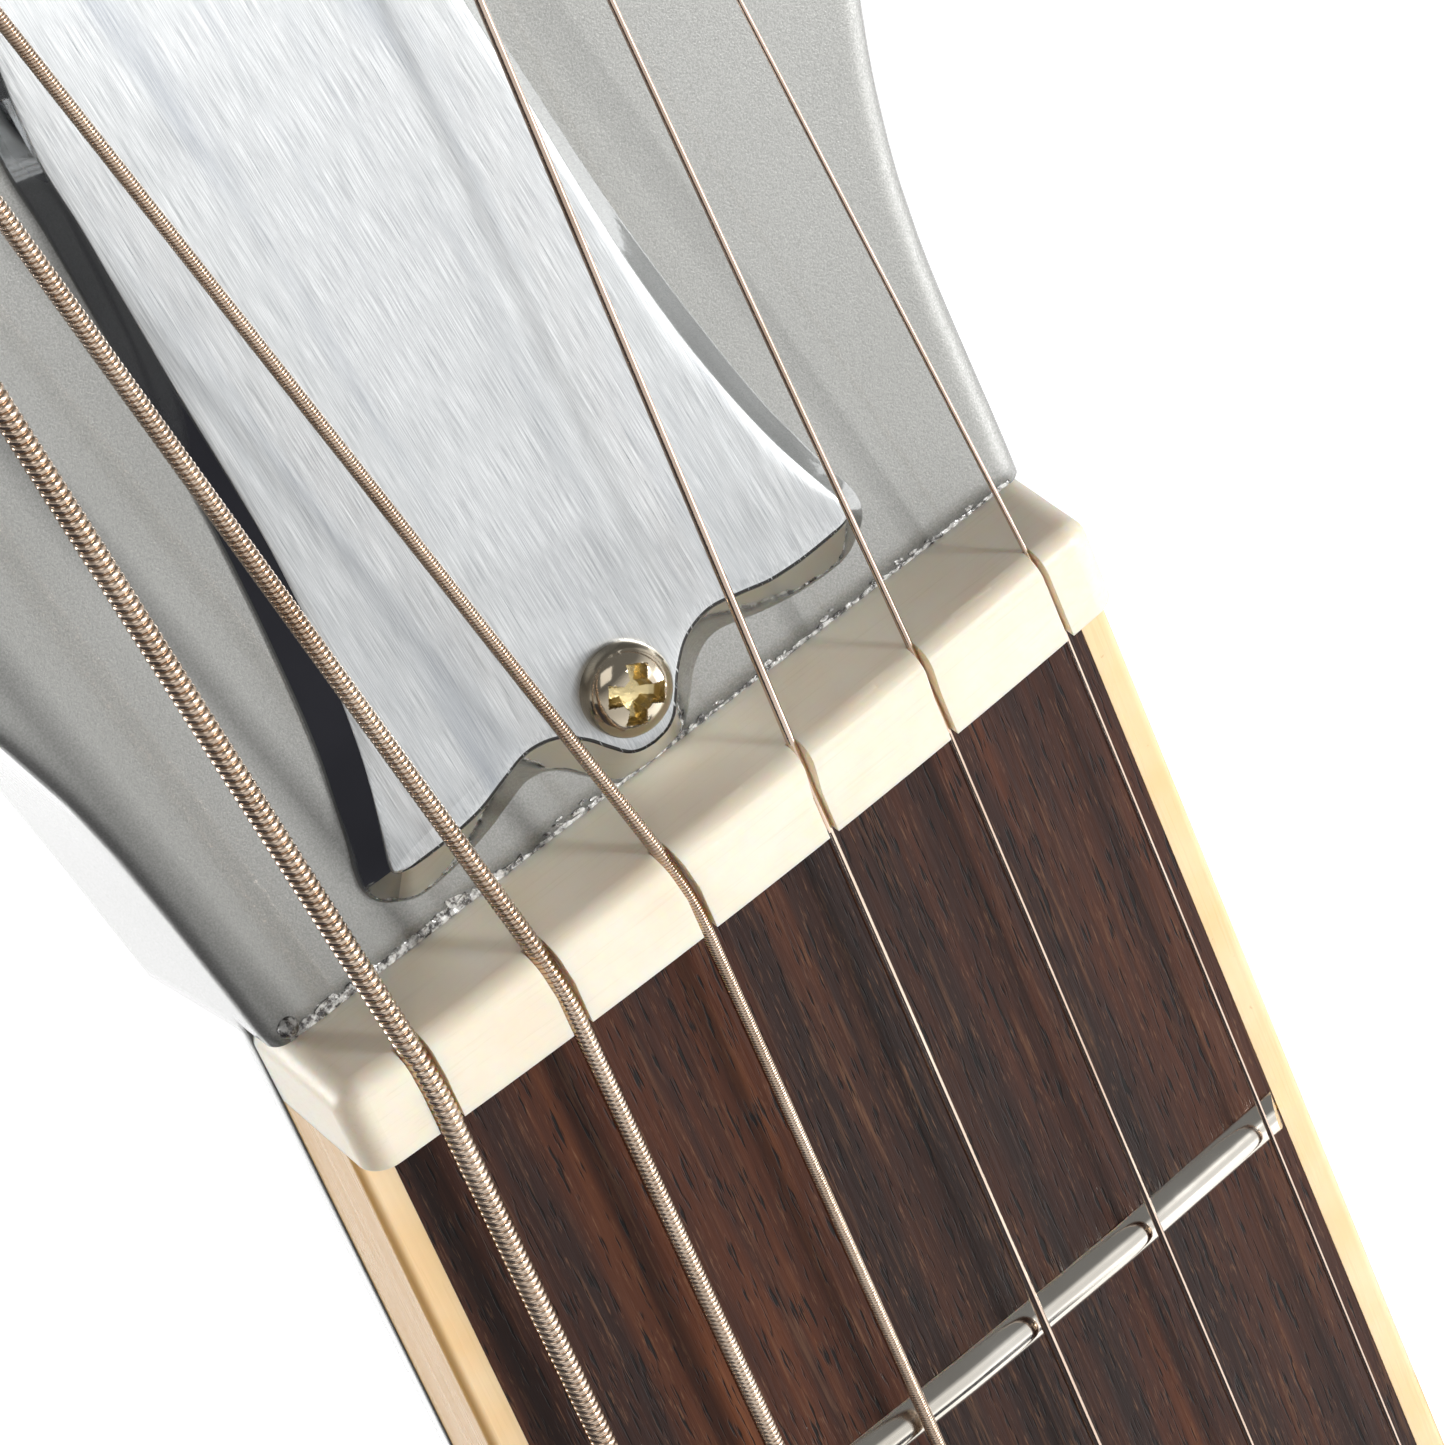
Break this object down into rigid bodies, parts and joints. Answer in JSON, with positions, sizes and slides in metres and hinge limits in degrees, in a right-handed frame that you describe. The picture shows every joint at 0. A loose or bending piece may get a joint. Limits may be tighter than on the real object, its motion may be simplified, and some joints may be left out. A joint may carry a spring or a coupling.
{
  "type": "electric guitar",
  "caption": "Solid-body electric guitar with a bolt-on bound neck, angled headstock, tuners, nut, truss rod cover, strings, pickups, bridge and controls.",
  "frame": {"origin": "middle of the front edge of the nut, level with the crown of the fingerboard, where a wall hanger holds the neck", "axes": "+Z along the neck towards the headstock, front of the guitar faces -Y, +X towards the treble side"},
  "size_m": [0.3289, 0.0758, 0.977],
  "materials": {
    "black_plastic": "moulded black plastic",
    "brass": "turned brass",
    "brushed_cover": "brushed face, polished bevel",
    "button_metal": "chrome plate",
    "cream_binding": "cream binding, gloss",
    "fret_wire": "polished nickel silver",
    "ivory_nut": "bone-coloured nut, satin",
    "lever_metal": "chrome plate",
    "pearl_dots": "pearloid, gloss",
    "pickup_cover": "nickel plate",
    "plain_string": "drawn plain steel",
    "pot_steel": "pressed steel",
    "rod_steel": "drawn steel",
    "rosewood": "oiled open-grained rosewood",
    "saddle_metal": "plated brass",
    "screw_nickel": "nickel plate",
    "silver_gloss": "wood under silver metallic lacquer and clear gloss",
    "tuner_chrome": "chrome plate",
    "wound_string": "nickel-wound steel"
  },
  "bodies": {
    "guitar": {"board_binding": "cream_binding", "body": "silver_gloss", "bridge_base": "tuner_chrome", "bridge_pickup": "pickup_cover", "bridge_pickup_ring": "black_plastic", "bridge_posts": "tuner_chrome", "bridge_saddles": "saddle_metal", "control_cover": "black_plastic", "control_pots": "pot_steel", "cover_screws": "screw_nickel", "fingerboard": "rosewood", "frets": "fret_wire", "neck": "silver_gloss", "neck_pickup": "pickup_cover", "neck_pickup_ring": "black_plastic", "neck_plate": "tuner_chrome", "neck_screws": "screw_nickel", "nut": "ivory_nut", "output_jack": "tuner_chrome", "panel_screws": "screw_nickel", "position_dots": "pearl_dots", "saddle_screws": "screw_nickel", "selector_switch": "pot_steel", "strap_buttons": "tuner_chrome", "string_a": "wound_string", "string_b": "plain_string", "string_balls": "brass", "string_d": "wound_string", "string_g": "plain_string", "string_high_e": "plain_string", "string_low_e": "wound_string", "tailpiece": "tuner_chrome", "tailpiece_studs": "tuner_chrome", "truss_rod": "rod_steel", "truss_rod_cover": "brushed_cover", "tuner_bushings": "tuner_chrome", "tuner_housing_a": "tuner_chrome", "tuner_housing_b": "tuner_chrome", "tuner_housing_d": "tuner_chrome", "tuner_housing_g": "tuner_chrome", "tuner_housing_high_e": "tuner_chrome", "tuner_housing_low_e": "tuner_chrome", "tuner_screws": "screw_nickel"},
    "post_low_e": {"tuner_post_low_e": "tuner_chrome"},
    "button_low_e": {"tuner_button_low_e": "button_metal"},
    "post_a": {"tuner_post_a": "tuner_chrome"},
    "button_a": {"tuner_button_a": "button_metal"},
    "post_d": {"tuner_post_d": "tuner_chrome"},
    "button_d": {"tuner_button_d": "button_metal"},
    "post_g": {"tuner_post_g": "tuner_chrome"},
    "button_g": {"tuner_button_g": "button_metal"},
    "post_b": {"tuner_post_b": "tuner_chrome"},
    "button_b": {"tuner_button_b": "button_metal"},
    "post_high_e": {"tuner_post_high_e": "tuner_chrome"},
    "button_high_e": {"tuner_button_high_e": "button_metal"},
    "volume_knob": {"volume_knob": "black_plastic"},
    "tone_knob": {"tone_knob": "black_plastic"},
    "selector_lever": {"selector_lever": "lever_metal"},
    "truss_rod_nut": {"truss_rod_nut": "brass"}
  },
  "joints": [
    {"name": "button_turn_low_e", "type": "hinge", "parent": "guitar", "child": "button_low_e", "pos_m": [-0.0421, 0.03982, 0.04551], "axis": [-1, 0, 0], "continuous": true},
    {"name": "post_turn_low_e", "type": "hinge", "parent": "guitar", "child": "post_low_e", "pos_m": [-0.0221, 0.01598, 0.04516], "axis": [0, -0.9563, 0.2924], "continuous": true},
    {"name": "button_turn_a", "type": "hinge", "parent": "guitar", "child": "button_a", "pos_m": [-0.0406, 0.05093, 0.08185], "axis": [-1, 0, 0], "continuous": true},
    {"name": "post_turn_a", "type": "hinge", "parent": "guitar", "child": "post_a", "pos_m": [-0.0206, 0.02709, 0.0815], "axis": [0, -0.9563, 0.2924], "continuous": true},
    {"name": "button_turn_d", "type": "hinge", "parent": "guitar", "child": "button_d", "pos_m": [-0.0422, 0.06263, 0.1201], "axis": [-1, 0, 0], "continuous": true},
    {"name": "post_turn_d", "type": "hinge", "parent": "guitar", "child": "post_d", "pos_m": [-0.0222, 0.03879, 0.11976], "axis": [0, -0.9563, 0.2924], "continuous": true},
    {"name": "button_turn_g", "type": "hinge", "parent": "guitar", "child": "button_g", "pos_m": [0.0404, 0.06263, 0.1201], "axis": [1, 0, 0], "continuous": true},
    {"name": "post_turn_g", "type": "hinge", "parent": "guitar", "child": "post_g", "pos_m": [0.0204, 0.03879, 0.11976], "axis": [0, -0.9563, 0.2924], "continuous": true},
    {"name": "button_turn_b", "type": "hinge", "parent": "guitar", "child": "button_b", "pos_m": [0.0388, 0.05093, 0.08185], "axis": [1, 0, 0], "continuous": true},
    {"name": "post_turn_b", "type": "hinge", "parent": "guitar", "child": "post_b", "pos_m": [0.0188, 0.02709, 0.0815], "axis": [0, -0.9563, 0.2924], "continuous": true},
    {"name": "button_turn_high_e", "type": "hinge", "parent": "guitar", "child": "button_high_e", "pos_m": [0.0403, 0.03982, 0.04551], "axis": [1, 0, 0], "continuous": true},
    {"name": "post_turn_high_e", "type": "hinge", "parent": "guitar", "child": "post_high_e", "pos_m": [0.0203, 0.01598, 0.04516], "axis": [0, -0.9563, 0.2924], "continuous": true},
    {"name": "volume_turn", "type": "hinge", "parent": "guitar", "child": "volume_knob", "pos_m": [0.084, 0.012, -0.674], "axis": [0, -1, 0], "range_deg": [-150, 150]},
    {"name": "tone_turn", "type": "hinge", "parent": "guitar", "child": "tone_knob", "pos_m": [0.104, 0.012, -0.716], "axis": [0, -1, 0], "range_deg": [-150, 150]},
    {"name": "selector_tilt", "type": "hinge", "parent": "guitar", "child": "selector_lever", "pos_m": [0.07, 0.019, -0.64], "axis": [1, 0, 0], "range_deg": [-14, 14]},
    {"name": "truss_nut_turn", "type": "hinge", "parent": "guitar", "child": "truss_rod_nut", "pos_m": [0, 0.0123, 0.0117], "axis": [0, 0, 1], "range_deg": [-180, 180]}
  ],
  "couplings": [
    {"joint": "post_turn_low_e", "follows": "button_turn_low_e", "ratio": 0.066667},
    {"joint": "post_turn_a", "follows": "button_turn_a", "ratio": 0.066667},
    {"joint": "post_turn_d", "follows": "button_turn_d", "ratio": 0.066667},
    {"joint": "post_turn_g", "follows": "button_turn_g", "ratio": -0.066667},
    {"joint": "post_turn_b", "follows": "button_turn_b", "ratio": -0.066667},
    {"joint": "post_turn_high_e", "follows": "button_turn_high_e", "ratio": -0.066667}
  ]
}
